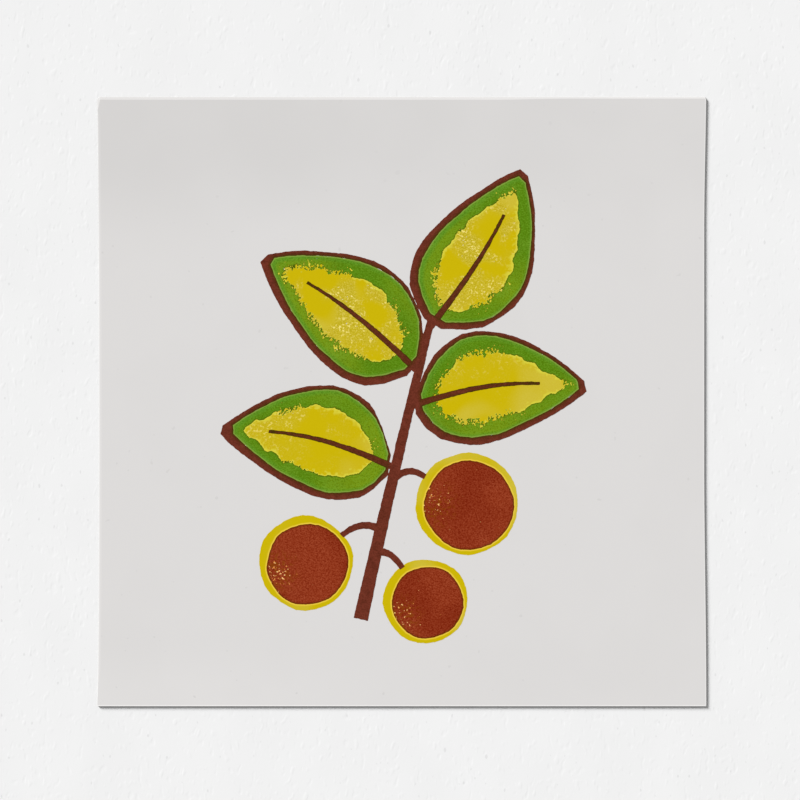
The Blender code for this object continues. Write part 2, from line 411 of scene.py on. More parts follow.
def ripple(patch, size, seed, heading=30.0, stretch=1.0):
    """Noise from -1 to 1 with bumps of a size, drawn out along a heading."""
    table = np.random.default_rng(seed).uniform(-1.0, 1.0, (NOISE_TILE, NOISE_TILE))
    turn = math.radians(heading)
    u = (patch.x * math.cos(turn) + patch.y * math.sin(turn)) / (size * stretch)
    v = (patch.y * math.cos(turn) - patch.x * math.sin(turn)) / size
    column, row = np.floor(u).astype(int), np.floor(v).astype(int)
    columns = [(column + step) % NOISE_TILE for step in (0, 1)]
    rows = [(row + step) % NOISE_TILE for step in (0, 1)]
    return between(table, columns, rows, smooth(u - column), smooth(v - row))


def roughened(patch, heights, seed, layers):
    """Heights with layers of noise on top. A layer is its strength, the size of its bumps in
    millimetres and, where they matter, its heading and its stretch."""
    for index, (strength, size, *drawn_out) in enumerate(layers):
        heights = heights + strength * ripple(patch, size * MM, seed + index, *drawn_out)
    return heights


# %% [markdown]
# ## From landscape to film
# The shore is followed from cell to cell with the ink on its left, which gives closed loops: one
# round the film, one round each hole and one round each crumb. All loops of a film are triangulated
# together. A triangle that lies in an odd number of loops holds ink. Loose points inside keep the
# triangles even and carry masks that the materials read. Edit mode and a Solidify modifier then
# turn the film into a closed solid, and each ink has its own height, so that a later ink covers an
# earlier one.

# %% Follow the shore
BORDER_HEIGHT = -0.01       # millimetres, so that every loop closes inside the patch
NEAR_CORNER = 0.06          # least distance of the shore from a grid point, in cells


def shore_steps(heights):
    """For each crossed grid edge, the one that follows it with the ink on the left."""
    ink = heights > 0.0
    wet_corners = ink[:-1, :-1].astype(int) + ink[:-1, 1:] + ink[1:, 1:] + ink[1:, :-1]
    steps = {}
    for row, column in zip(*np.nonzero((wet_corners > 0) & (wet_corners < 4))):
        corners = [(row, column), (row, column + 1), (row + 1, column + 1), (row + 1, column)]
        wet = [bool(ink[corner]) for corner in corners]
        for side in range(4):
            if wet[side] and not wet[side - 3]:
                back = side
                while wet[back - 1]:
                    back -= 1
                leave = tuple(sorted((corners[side], corners[side - 3])))
                enter = tuple(sorted((corners[back], corners[back - 1])))
                steps[leave] = enter
    return steps


def shore_point(patch, heights, edge):
    """Place on a grid edge where the height is zero."""
    (row, column), (other_row, other_column) = edge
    here, there = heights[row, column], heights[other_row, other_column]
    share = min(max(here / (here - there), NEAR_CORNER), 1.0 - NEAR_CORNER)
    offset = Vector((column + (other_column - column) * share, row + (other_row - row) * share))
    return patch.low + offset * CELL


# %% Tidy the loops
BEND_LIMIT = 0.007 * MM     # a point that is less far out of line is left out,
STEP_LIMIT = 0.5 * MM       # unless the step would get longer than this
LEAST_AREA = 0.003 * MM * MM


def thinned(loop):
    """The loop without the points that add next to nothing to its shape."""
    kept = [loop[0]]
    for index in range(1, len(loop)):
        point, following = loop[index], loop[(index + 1) % len(loop)]
        run = following - kept[-1]
        if abs(run.cross(point - kept[-1])) > BEND_LIMIT * run.length or run.length > STEP_LIMIT:
            kept.append(point)
    return kept


def loop_area(loop):
    """Area inside a loop, below zero where it turns to the right."""
    first = loop[0]
    return sum((loop[i - 1] - first).cross(loop[i] - first) for i in range(2, len(loop))) / 2.0


def from_lowest(loop):
    """The same loop, started at its lowest point, where its inside lies surely to the left."""
    start = min(range(len(loop)), key=lambda index: (loop[index].y, loop[index].x))
    return loop[start:] + loop[:start]


def shores(patch, heights):
    """Closed loops round all the ink of a landscape, each turning to the left."""
    heights = heights.copy()
    for border in (heights[0], heights[-1], heights[:, 0], heights[:, -1]):
        border[:] = np.minimum(border, BORDER_HEIGHT)
    steps = shore_steps(heights)
    loops = []
    while steps:
        first, edge = steps.popitem()
        chain = [first]
        while edge != first:
            chain.append(edge)
            edge = steps.pop(edge)
        loop = thinned([shore_point(patch, heights, edge) for edge in chain])
        area = loop_area(loop) if len(loop) > 2 else 0.0
        if abs(area) > LEAST_AREA:
            loops.append(from_lowest(loop if area > 0.0 else loop[::-1]))
    return loops


def lines_at(patch, heights, *levels):
    """Points along the lines of a landscape at some levels."""
    return [point for level in levels for loop in shores(patch, heights - level) for point in loop]


# %% Fill the loops
LOOSE_PITCH = 0.8 * MM
LOOSE_STRAY = (0.2, 0.8)    # share of the pitch where a loose point may lie
LOOSE_CLEAR = 0.12          # millimetres from the shore
INSIDE_ONLY = 1             # the triangulation's own number for leaving out what is outside
WELD = 0.0005 * MM


def loose_points(patch, heights, seed):
    """Evenly strewn points in the ink, clear of its shores."""
    draw = random.Random(seed)
    high = Vector((patch.x[0, -1], patch.y[-1, 0]))
    points = []
    for row in range(int((high.y - patch.low.y) / LOOSE_PITCH)):
        for column in range(int((high.x - patch.low.x) / LOOSE_PITCH)):
            stray = Vector((column + draw.uniform(*LOOSE_STRAY), row + draw.uniform(*LOOSE_STRAY)))
            points.append(patch.low + stray * LOOSE_PITCH)
    clear = patch.read(heights, points) > LOOSE_CLEAR
    return [point for point, keep in zip(points, clear) if keep]


def filled(loops, loose):
    """Places and triangles of the ink inside the loops, with the loose points among them."""
    corners, faces = [], []
    for loop in loops:
        faces.append(list(range(len(corners), len(corners) + len(loop))))
        corners.extend(loop)
    spots, _, triangles, _, _, homes = delaunay_2d_cdt(corners + loose, [], faces, INSIDE_ONLY, WELD, True)
    inked = [triangle for triangle, home in zip(triangles, homes) if len(home) % 2]
    used = sorted({corner for triangle in inked for corner in triangle})
    order = {corner: index for index, corner in enumerate(used)}
    return [spots[corner] for corner in used], [[order[corner] for corner in triangle] for triangle in inked]


# %% Give the film its depth
def only(piece):
    """Make one piece the selected and active one."""
    bpy.ops.object.select_all(action="DESELECT")
    piece.select_set(True)
    bpy.context.view_layer.objects.active = piece


def thicken(film, depth):
    """Turn the faces up and give them depth downwards."""
    only(film)
    bpy.ops.object.mode_set(mode="EDIT")
    bpy.ops.mesh.select_all(action="SELECT")
    bpy.ops.mesh.normals_make_consistent(inside=False)
    bpy.ops.object.mode_set(mode="OBJECT")
    if film.data.polygons[0].normal.z < 0.0:
        film.data.flip_normals()
    solid = film.modifiers.new("Depth", "SOLIDIFY")
    solid.thickness = depth
    solid.offset = -1.0
    bpy.ops.object.modifier_apply(modifier="Depth")


# %% Lay a film
FILM_TOPS = {"yellow": 0.012 * MM, "green": 0.024 * MM, "rust": 0.030 * MM, "brown": 0.036 * MM}


def lay_film(name, ink, patch, heights, masks, seed, marks):
    """Solid film of ink from its landscape. The masks become attributes of its points, and the
    marks are places where it needs points of its own to carry them."""
    loops = shores(patch, heights)
    places, triangles = filled(loops, loose_points(patch, heights, seed) + marks)
    mesh = bpy.data.meshes.new(name)
    mesh.from_pydata([(spot.x, spot.y, SHEET_TOP + FILM_TOPS[ink]) for spot in places], [], triangles)
    for label, values in masks.items():
        layer = mesh.attributes.new(label, "FLOAT", "POINT")
        layer.data.foreach_set("value", patch.read(values, places).astype(np.float32))
    film = bpy.data.objects.new(name, mesh)
    bpy.context.scene.collection.objects.link(film)
    covered = sum(face.area for face in mesh.polygons) / (np.count_nonzero(heights > 0.0) * CELL * CELL)
    thicken(film, FILM_TOPS[ink])
    print(name, "has", len(loops), "loops,", len(film.data.polygons), "faces, and covers",
          round(covered, 3), "of its landscape")
    return film


# %% [markdown]
# ## Edges and pits
# A block's cut edge prints crisp, but the paper's tooth makes it waver. The same tooth leaves bare
# pits where the ink is thin. The inner edge of the green was wiped by hand instead. It runs in
# steps of a few millimetres, and on rough stretches it breaks up into blobs and pores, with short
# strokes of bare ground further in. Each of these is a few layers of noise, so each is a short
# list. The yellow below has to know both edges too, because it is squeezed to a brighter line
# beside them.

# %% Cut edges and pits
WAVER = ((0.07, 2.2), (0.06, 0.8, 75.0), (0.04, 0.4, 10.0))
TOOTH = ((0.55, 0.36, 20.0), (0.50, 0.58, 65.0), (0.25, 0.25, 45.0))
PIT_SLOPE = 0.22            # height in millimetres that one unit of noise digs
RUST_EDGE_SEED = 40


def pressed(patch, depth, seed):
    """A cut edge as it prints."""
    return roughened(patch, depth, seed, WAVER)


def rust_edge(patch, number, berry):
    """Landscape of a berry's cut edge."""
    return pressed(patch, depth_in(patch, berry["round"]), RUST_EDGE_SEED + number)


def pitted(patch, depth, worn, cover, seed):
    """Dig the pits of the paper that the ink can't cover. The cover is the tooth that full ink
    hides, and how much less of it worn ink hides."""
    full, lost = cover
    return np.minimum(depth, (full - lost * worn - roughened(patch, 0.0, seed, TOOTH)) * PIT_SLOPE)


# %% Tear an edge
ROUGH_STRETCHES = ((1.0, 12.0, 15.0), (0.4, 5.0, 55.0))
ROUGH_RANGE = (-0.25, 0.40)
TORN_STEPS = ((0.45, 3.4), (0.32, 1.4, 80.0))
FRAY_WIDTH = 1.5            # millimetres to either side of a rough edge
BLOBS = ((0.80, 0.36, 52.0, 1.8), (0.55, 0.31, 10.0))
CALM_BLOBS = 0.12           # height of the blobs on a calm stretch
ROUGH_BLOBS = 0.80          # what the roughest stretch adds to it


def roughness(patch, seed):
    """How torn an edge is, 0 on a calm stretch and 1 on a rough one."""
    return ramp(roughened(patch, 0.0, seed, ROUGH_STRETCHES), *ROUGH_RANGE)


def torn(patch, depth, seed):
    """Push an edge about in steps. Where it is rough, level the ground beside it, so that noise
    breaks it up into blobs and pores."""
    rough = roughness(patch, seed)
    depth = roughened(patch, depth, seed + 2, TORN_STEPS)
    level = depth * np.minimum(np.abs(depth) / FRAY_WIDTH, 1.0)
    blobs = roughened(patch, 0.0, seed + 4, BLOBS)
    return depth + rough * (level - depth) + (CALM_BLOBS + ROUGH_BLOBS * rough) * blobs


# %% Strokes and crumbs
STROKE_SWARMS = ((1.0, 3.6),)
STROKE_SWARM_RANGE = (-0.1, 0.4)
STROKE_REACH = (0.8, 3.6)   # millimetres from the torn edge, over which the strokes fade
STROKES = ((1.0, 0.36, 112.0, 2.0),)
# the stroke that full ink hides, and how much less of it worn ink hides
STROKE_COVER = (0.98, 0.60)
GRIT = ((0.75, 0.50, 50.0), (0.45, 0.30, 5.0))
GRIT_LIMIT = 1.0            # grit above it is a crumb of ink on a calm stretch
ROUGH_GRIT = 0.60           # how far a rough stretch lowers that limit
GRIT_FADE = 0.40            # how far each millimetre from the edge raises it
TORN_SEED = 220


def crumbled(patch, edge, seed, slope):
    """Strokes of bare ground in the ink near its torn edge, and crumbs of ink beyond it."""
    rough = roughness(patch, seed)
    swarm = ramp(roughened(patch, 0.0, seed + 6, STROKE_SWARMS), *STROKE_SWARM_RANGE)
    swarm *= 1.0 - ramp(edge, *STROKE_REACH)
    full, lost = STROKE_COVER
    covered = full - lost * rough * swarm - roughened(patch, 0.0, seed + 7, STROKES)
    crumbs = roughened(patch, 0.0, seed + 8, GRIT) - GRIT_LIMIT + ROUGH_GRIT * rough
    crumbs -= GRIT_FADE * np.maximum(-edge, 0.0)
    return np.maximum(np.minimum(edge, covered * slope), crumbs * slope)


def torn_seed(number):
    return TORN_SEED + 10 * number


def green_inner(patch, number, leaf, slope=PIT_SLOPE):
    """Landscape of a green band's torn inner edge."""
    seed = torn_seed(number)
    return crumbled(patch, torn(patch, -depth_in(patch, leaf["heart"]), seed), seed, slope)


# %% [markdown]
# ## Yellow ink
# The yellow block prints first. It fills a disc under each berry, and each leaf almost to its brown
# outline. The green and the rust then cover all of it but the hearts and the halos. It could stop
# at their edges, but their pores and pinholes show it. Towards the upper left the roller ran dry,
# so the paper shows through as salt-like specks in drifts, with paler ink round them.

# %% Salt
SALT_LEAN = 0.45            # turns the worn side from the top towards the left
SALT_RANGE = (-0.022, 0.044)
DRIFTS = ((1.0, 7.5), (0.7, 3.2, 70.0))
DRIFT_RANGE = (-0.50, 0.60)
DRIFT_SEED = 61


def salt_drift(patch):
    """How much the paper shows through, 0 to 1: most at the upper left, in drifts."""
    climb = ramp(patch.y - SALT_LEAN * patch.x, *SALT_RANGE)
    return climb * ramp(roughened(patch, 0.0, DRIFT_SEED, DRIFTS), *DRIFT_RANGE)


# %% Print the yellow
MARGIN = 1 * MM             # of a patch round its outlines
YELLOW_MARGIN = 1.5 * MM
YELLOW_SHIFT = Vector((0.5 * MM, -0.3 * MM))
YELLOW_INSET = 0.7          # millimetres inside the brown outline
SALT_COVER = (1.05, 0.29)
LEAF_SALT_SEED = 100
HALO_SALT_SEED = 150
HALO_SEED = 10
HALO_DRIFT = 0.25           # share of a leaf's salt
LIP_WIDTH = 0.40            # millimetres from the green's edge
LIP_CREST = 0.12            # where it is brightest
LIP_THINNING = 3.0          # how much narrower the lip gets on a rough stretch
RUST_LIP_WIDTH = 0.62       # millimetres from the rust's edge
STAIN_MARK = 0.2            # millimetres inside it


def yellow_depth(patch, leaf):
    return depth_in(patch, [point + YELLOW_SHIFT for point in leaf["inner"]]) - YELLOW_INSET


def yellow_leaf(number, leaf):
    patch = Patch([leaf["inner"]], YELLOW_MARGIN)
    drift = salt_drift(patch)
    depth = yellow_depth(patch, leaf)
    edge = pressed(patch, depth, number)
    heights = pitted(patch, edge, drift, SALT_COVER, LEAF_SALT_SEED + 10 * number)
    beside = green_inner(patch, number, leaf) * (1.0 + LIP_THINNING * roughness(patch, torn_seed(number)))
    masks = {"rim": depth, "drift": drift, "pressed": beside, "under": np.full(depth.shape, -FAR)}
    marks = lines_at(patch, beside, 0.0, -LIP_WIDTH)
    return lay_film("Yellow_leaf_%d" % number, "yellow", patch, heights, masks, number, marks)


def yellow_halo(number, berry):
    patch = Patch([berry["halo"]], MARGIN)
    seed = HALO_SEED + number
    drift = HALO_DRIFT * salt_drift(patch)
    depth = depth_in(patch, berry["halo"])
    edge = pressed(patch, depth, seed)
    heights = pitted(patch, edge, drift, SALT_COVER, HALO_SALT_SEED + 10 * number)
    beside = rust_edge(patch, number, berry)
    lip = beside * LIP_WIDTH / RUST_LIP_WIDTH
    masks = {"rim": depth, "drift": drift, "pressed": lip, "under": beside}
    marks = lines_at(patch, beside, STAIN_MARK, 0.0) + lines_at(patch, lip, -LIP_CREST, -LIP_WIDTH)
    return lay_film("Yellow_halo_%d" % number, "yellow", patch, heights, masks, seed, marks)


yellow_hearts = [yellow_leaf(number, leaf) for number, leaf in enumerate(leaves, 1)]
yellow_halos = [yellow_halo(number, berry) for number, berry in enumerate(berries, 1)]

# %% [markdown]
# ## Green ink
# The green block prints second, over the outer part of the yellow. Its inner edge is the torn one,
# and ink gathers along it. Its outer edge is cut. It reaches a little way under the brown, and stops
# a hairline short of it here and there. So each edge is a landscape of its own, and the band is
# where the lower of the two is above zero.

# %% Print the green
UNDERLAP = 0.12             # millimetres under the brown, at the mean
UNDERLAP_SIZE = 9 * MM      # over which it changes
UNDERLAP_SEED = 210
GREEN_EDGE_SEED = 20
GREEN_SEED = 30
PALE_WIDTH = 0.55           # millimetres from the cut edge
RIM_WIDTH = 0.50            # millimetres from the torn edge
RIM_SLOPE = 1.8


def green_leaf(number, leaf):
    patch = Patch([leaf["inner"]], MARGIN)
    outer = depth_in(patch, leaf["inner"])
    underlap = UNDERLAP - UNDERLAP * ripple(patch, UNDERLAP_SIZE, UNDERLAP_SEED + number)
    outer_edge = pressed(patch, outer + underlap, GREEN_EDGE_SEED + number)
    heights = np.minimum(outer_edge, green_inner(patch, number, leaf))
    rim = green_inner(patch, number, leaf, RIM_SLOPE)
    masks = {"rim": rim, "over": yellow_depth(patch, leaf), "outer": outer}
    marks = lines_at(patch, outer, PALE_WIDTH) + lines_at(patch, rim, RIM_WIDTH)
    return lay_film("Green_leaf_%d" % number, "green", patch, heights, masks, GREEN_SEED + number, marks)


green_bands = [green_leaf(number, leaf) for number, leaf in enumerate(leaves, 1)]

# %% [markdown]
# ## Rust ink
# Each berry is one flat of rust with a crisp faceted edge. Its pinholes, most of them in a nest
# near the left edge, are pits of the paper that the rust could not reach, and the ground shows
# through them. They are cut through the film, as they are on the print, and not painted on it.

# %% Pinholes
NEST_HEADING = 165.0        # degrees, from a berry's middle
NEST_TURN = 14.0            # degrees more for each berry
NEST_PLACE = 0.78           # share of the radius out from the middle
NEST_RANGE = (0.1, 0.75)    # share of the radius, over which a nest thins out


def berry_nest(patch, berry, number):
    """How near a berry's nest of pinholes is, 0 to 1."""
    turn = math.radians(NEST_HEADING + NEST_TURN * number)
    nest = berry["centre"] + Vector((math.cos(turn), math.sin(turn))) * NEST_PLACE * berry["radius"]
    return 1.0 - ramp(np.hypot(patch.x - nest.x, patch.y - nest.y) / berry["radius"], *NEST_RANGE)


# %% Print the rust
RUST_COVER = (0.96, 0.48)
RUST_PIT_SEED = 300
RUST_SEED = 40
RUST_RIM_WIDTH = 0.8        # millimetres from the cut edge


def rust_berry(number, berry):
    patch = Patch([berry["round"]], MARGIN)
    edge = rust_edge(patch, number, berry)
    nest = berry_nest(patch, berry, number)
    heights = pitted(patch, edge, nest, RUST_COVER, RUST_PIT_SEED + 10 * number)
    marks = lines_at(patch, edge, RUST_RIM_WIDTH / 2, RUST_RIM_WIDTH)
    masks = {"rim": edge, "nest": nest}
    return lay_film("Rust_berry_%d" % number, "rust", patch, heights, masks, RUST_SEED + number, marks)


rust_berries = [rust_berry(number, berry) for number, berry in enumerate(berries, 1)]

# %% [markdown]
# ## Brown ink
# The brown block prints last and holds the drawing together: stem, stalks, leaf outlines and
# midribs are one connected film. The highest of several landscapes is their union, and a leaf's
# outline is the ground inside its outer edge and outside its clear inside.

# %% Print the brown
BROWN_SEED = 50
NICK_DEPTH = 0.10           # millimetres
NICK_SIZE = 1.1 * MM
NICK_HEADING = 40.0
NICK_SEED = 81
BROWN_RIM_WIDTH = 0.7       # millimetres from the green
RIB_RIM = 1.6               # how much narrower the rim of a midrib is
REDDER = (-1.5, -0.5)       # millimetres past the green, over which the brown turns


def brown_twig():
    lines = [stem] + [berry["stalk"] for berry in berries] + [leaf["rib"] for leaf in leaves]
    patch = Patch(lines + [leaf["edge"] for leaf in leaves], MARGIN)
    depth = np.full(patch.x.shape, -FAR)
    over = depth.copy()
    for line in lines:
        depth = np.maximum(depth, depth_in(patch, line))
    for leaf in leaves:
        inside = depth_in(patch, leaf["inner"])
        depth = np.maximum(depth, np.minimum(depth_in(patch, leaf["edge"]), -inside))
        over = np.maximum(over, inside)
    nicks = NICK_DEPTH * np.minimum(ripple(patch, NICK_SIZE, NICK_SEED, NICK_HEADING), 0.0)
    heights = pressed(patch, depth, BROWN_SEED) + nicks
    masks = {"rim": np.where(over > 0.0, RIB_RIM * depth, -over), "over": over}
    marks = lines_at(patch, over, -BROWN_RIM_WIDTH / 2, -BROWN_RIM_WIDTH, REDDER[0])
    return lay_film("Brown_twig", "brown", patch, heights, masks, BROWN_SEED, marks)


brown = brown_twig()

# %% [markdown]
# ## The sheet
# Heavy paper, cut by hand with a knife along a rule: the left and right sides bow in by about 0.7
# mm, the top left corner is knocked blunt, and the knife turned up a fine burr along the lower and
# right edges. Along the upper and left edges it rolled the paper down a little instead. Both catch
# the light. A sheet could start as one flat box, but its long sides need points to bow with. So it
# starts as a grid, whose sides are drawn in. Its corners are bevelled, two insets keep burr and
# roll narrow, and an extrusion gives the thickness.

# %% Draw in the sides of a grid
LEFT_BOW = 0.66 * MM
LEFT_SKEW = 0.85            # below 1 moves the deepest place of the bow down from mid height
LEFT_FLATNESS = 0.6         # below 1 flattens the bow
RIGHT_BOW = 0.68 * MM
RIGHT_FOOT = (2 * MM, 80 * MM)      # the bow sets in over this stretch above the lower corner
RIGHT_HEAD = (-8 * MM, 44 * MM)     # and fades over this stretch below the upper corner
SHEET_CELLS = 50

bpy.ops.object.select_all(action="DESELECT")
bpy.ops.mesh.primitive_grid_add(x_subdivisions=SHEET_CELLS, y_subdivisions=SHEET_CELLS,
                                size=2 * HALF_SIDE, location=(0.0, 0.0, 0.0))
sheet = bpy.context.object
sheet.name = "Paper_sheet"


def drawn_in(x, y):
    """A place's x once the sides are drawn in."""
    up, down = y + HALF_SIDE, HALF_SIDE - y
    height = max(up, 0.0) / (2 * HALF_SIDE)
    left = LEFT_BOW * max(math.sin(math.pi * height ** LEFT_SKEW), 0.0) ** LEFT_FLATNESS
    right = RIGHT_BOW * min(ramp(up, *RIGHT_FOOT), ramp(down, *RIGHT_HEAD))
    return x * (1.0 - (left if x < 0.0 else right) / HALF_SIDE)


for vertex in sheet.data.vertices:
    vertex.co.x = drawn_in(vertex.co.x, vertex.co.y)
    vertex.co.z = SHEET_TOP
print("half way up, the sides are at", round(drawn_in(-HALF_SIDE, 0.0) / MM, 2), "and",
      round(drawn_in(HALF_SIDE, 0.0) / MM, 2), "mm")


# %% Select in edit mode
def edit_select(piece, mode, rule):
    """In edit mode, select only the parts that pass the rule."""
    bpy.ops.mesh.select_mode(type=mode)
    bpy.ops.mesh.select_all(action="DESELECT")
    shape = bmesh.from_edit_mesh(piece.data)
    parts = {"VERT": shape.verts, "EDGE": shape.edges}[mode]
    for part in parts:
        if rule(part):
            part.select_set(True)
    bmesh.update_edit_mesh(piece.data)


# %% Corners, edge loops and thickness
BLUNT_CORNER = 1.1 * MM
CRISP_CORNER = 0.3 * MM
CORNER_REACH = 2 * MM
EDGE_LOOPS = (0.36 * MM, 0.12 * MM)     # distances from the edge
EDGE_ROUND = 0.02 * MM
EDGE_ANGLE = math.radians(60.0)
LEVEL = 0.1 * MM            # an edge that rises less lies along the rim


def is_corner(vertex):
    nearer = min(abs(vertex.co.x), abs(vertex.co.y))
    return len(vertex.link_edges) == 2 and nearer > HALF_SIDE - CORNER_REACH


def is_upper_left(vertex):
    return vertex.co.x < 0.0 < vertex.co.y


def is_rim(edge):
    first, second = edge.verts
    return edge.calc_face_angle(0.0) > EDGE_ANGLE and abs(first.co.z - second.co.z) < LEVEL


only(sheet)
bpy.ops.object.mode_set(mode="EDIT")
edit_select(sheet, "VERT", lambda vertex: is_corner(vertex) and is_upper_left(vertex))
bpy.ops.mesh.bevel(offset=BLUNT_CORNER, segments=3, affect="VERTICES")
edit_select(sheet, "VERT", lambda vertex: is_corner(vertex) and not is_upper_left(vertex))
bpy.ops.mesh.bevel(offset=CRISP_CORNER, segments=2, affect="VERTICES")
for width in EDGE_LOOPS:
    bpy.ops.mesh.select_all(action="SELECT")
    bpy.ops.mesh.inset(thickness=width, depth=0.0)
bpy.ops.mesh.select_all(action="SELECT")
bpy.ops.mesh.extrude_region_move(TRANSFORM_OT_translate={"value": (0.0, 0.0, -SHEET_TOP)})
bpy.ops.mesh.select_all(action="SELECT")
bpy.ops.mesh.normals_make_consistent(inside=False)
edit_select(sheet, "EDGE", is_rim)
bpy.ops.mesh.bevel(offset=EDGE_ROUND, segments=1, affect="EDGES")
bpy.ops.object.mode_set(mode="OBJECT")
print("sheet has", len(sheet.data.polygons), "faces")

# %% Turn up the burr
BURR_WIDTH = 0.30 * MM
BURR_HEIGHT = 0.058 * MM
RIGHT_BURR = 0.5            # share of the height along the right edge


def burr_lift(x, y):
    """Height of the burr at a place on the top, along the lower edge and the right one."""
    from_bottom = y + HALF_SIDE
    from_right = drawn_in(HALF_SIDE, y) - x
    rise = max(1.0 - from_bottom / BURR_WIDTH, RIGHT_BURR * (1.0 - from_right / BURR_WIDTH), 0.0)
    return BURR_HEIGHT * min(rise, 1.0)


# %% Roll down the upper and left edges
TOP_ROLL_WIDTHS = (0.90 * MM, 0.55 * MM)    # towards the left and the right end
TOP_ROLL_CHANGE = (0.030, 0.055)            # across the sheet, from the one to the other
TOP_ROLL_SLOPE = 0.15
# along the left edge, each loop's distance from it, its new distance and its drop
LEFT_ROLL = (
    (0.0, 0.0, 0.050 * MM),
    (EDGE_LOOPS[1], 0.36 * MM, 0.016 * MM),
    (EDGE_LOOPS[0], 0.90 * MM, 0.0),
)
LEFT_ROLL_FOOT = (-0.097, -0.085)           # up the sheet, where the roll sets in
LEFT_ROLL_HEAD = (2 * MM, 8 * MM)           # and below the top, where it ends
LOOP_SLACK = 0.06 * MM
CORNER_PULL = 0.75          # share of the way to the middle of the blunt corner


def roll_corner(place, from_left, from_top, drop):
    """Lower the rim of the blunt corner, and draw its loops to the corner's own middle."""
    across, down = BLUNT_CORNER - from_left, BLUNT_CORNER - from_top
    from_edge = BLUNT_CORNER - math.hypot(across, down)
    if from_edge < 2 * EDGE_ROUND:
        place.z -= drop
    elif from_edge < EDGE_LOOPS[0] + LOOP_SLACK:
        place.x += CORNER_PULL * across
        place.y -= CORNER_PULL * down


def roll_down(place):
    """Lower the rim along the upper and left edges, and move their loops further in."""
    from_top = HALF_SIDE - place.y
    from_left = place.x - drawn_in(-HALF_SIDE, place.y)
    left_width, right_width = TOP_ROLL_WIDTHS
    width = left_width + (right_width - left_width) * ramp(place.x, *TOP_ROLL_CHANGE)
    top_drop = TOP_ROLL_SLOPE * width
    if max(from_left, from_top) < BLUNT_CORNER + LOOP_SLACK:
        roll_corner(place, from_left, from_top, top_drop)
        return
    if from_top < 2 * EDGE_ROUND:
        place.z -= top_drop
    elif from_top < EDGE_LOOPS[0] + LOOP_SLACK:
        place.y -= width - EDGE_LOOPS[1]
    share = ramp(place.y, *LEFT_ROLL_FOOT) * ramp(from_top, *LEFT_ROLL_HEAD)
    for distance, new_distance, drop in LEFT_ROLL:
        if abs(from_left - distance) < LOOP_SLACK:
            place.x += (new_distance - distance) * share
            place.z -= drop * share


# %% Shape the rim
TOP_SIDE = SHEET_TOP - 1.5 * EDGE_ROUND     # above it are the top and the upper rim
SMOOTH_ANGLE = math.radians(1.0)

for vertex in sheet.data.vertices:
    if vertex.co.z > TOP_SIDE:
        vertex.co.z += burr_lift(vertex.co.x, vertex.co.y)
        roll_down(vertex.co)
only(sheet)
bpy.ops.object.shade_smooth_by_angle(angle=SMOOTH_ANGLE)
print("burr rises to", round(max(v.co.z for v in sheet.data.vertices) / MM, 3), "mm")

# %% [markdown]
# ## Finishes from nodes
# A finish is a tree of nodes. By hand each node is a few clicks, and in code a few lines, so here
# each kind has a small helper that adds it, fills its sockets and gives back its output. A socket
# takes either a value or another node's output.

# %% Nodes that work out a value
def plug(tree, value, socket):
    """Link a socket's output to a socket, or set it to a value."""
    if isinstance(value, bpy.types.NodeSocket):
        tree.links.new(value, socket)
    else:
        socket.default_value = value


def noise_of(tree, place, scale, detail=1.0):
    node = tree.nodes.new("ShaderNodeTexNoise")
    for name, value in (("Vector", place), ("Scale", scale), ("Detail", detail)):
        plug(tree, value, node.inputs[name])
    return node.outputs["Fac"]


def math_of(tree, operation, first, second, clamp=False):
    node = tree.nodes.new("ShaderNodeMath")
    node.operation = operation
    node.use_clamp = clamp
    plug(tree, first, node.inputs[0])
    plug(tree, second, node.inputs[1])
    return node.outputs[0]


def ranged(tree, value, low, high, to_low=0.0, to_high=1.0):
    """Smooth step from to_low at low to to_high at high."""
    node = tree.nodes.new("ShaderNodeMapRange")
    node.interpolation_type = "SMOOTHSTEP"
    for name, number in (("Value", value), ("From Min", low), ("From Max", high),
                         ("To Min", to_low), ("To Max", to_high)):
        plug(tree, number, node.inputs[name])
    return node.outputs["Result"]


def speckled(tree, place, scale, detail, *limits):
    """Noise seen through a smooth step: spots, swarms or drifts, by its limits."""
    return ranged(tree, noise_of(tree, place, scale, detail), *limits)


def mixed(tree, factor, first, second):
    node = tree.nodes.new("ShaderNodeMix")
    node.data_type = "RGBA"
    for index, value in ((0, factor), (6, first), (7, second)):
        plug(tree, value, node.inputs[index])
    return node.outputs[2]


# %% Nodes for masks, places and the surface
def mask_of(tree, name):
    node = tree.nodes.new("ShaderNodeAttribute")
    node.attribute_name = name
    return node.outputs["Fac"]


def object_place(tree):
    return tree.nodes.new("ShaderNodeTexCoord").outputs["Object"]


def squashed(tree, place, scale, turn=0.0):
    node = tree.nodes.new("ShaderNodeMapping")
    for name, value in (("Vector", place), ("Rotation", (0.0, 0.0, turn)), ("Scale", scale)):
        plug(tree, value, node.inputs[name])
    return node.outputs["Vector"]


def surface(tree, name, value):
    """Link or set an input of the material's shader."""
    plug(tree, value, tree.nodes["Principled BSDF"].inputs[name])


def bumped(tree, height, distance):
    node = tree.nodes.new("ShaderNodeBump")
    node.inputs["Distance"].default_value = distance
    tree.links.new(height, node.inputs["Height"])
    surface(tree, "Normal", node.outputs["Normal"])


def new_material(name, sheen):
    """New material without a colour yet, and its tree."""
    material = bpy.data.materials.new(name)
    material.use_nodes = True
    surface(material.node_tree, "Specular IOR Level", sheen)
    return material, material.node_tree


# %% Colours as the picture shows them
FLOOR_ALBEDO = 0.80
FLOOR_SHOWN = 242
INK_GLARE = 0.0028          # light that an ink's sheen adds to every colour
DARKEST = 0.0005


def linear(value):
    """Linear light from one eight-bit channel."""
    share = value / 255.0
    return share / 12.92 if share <= 0.04045 else ((share + 0.055) / 1.055) ** 2.4


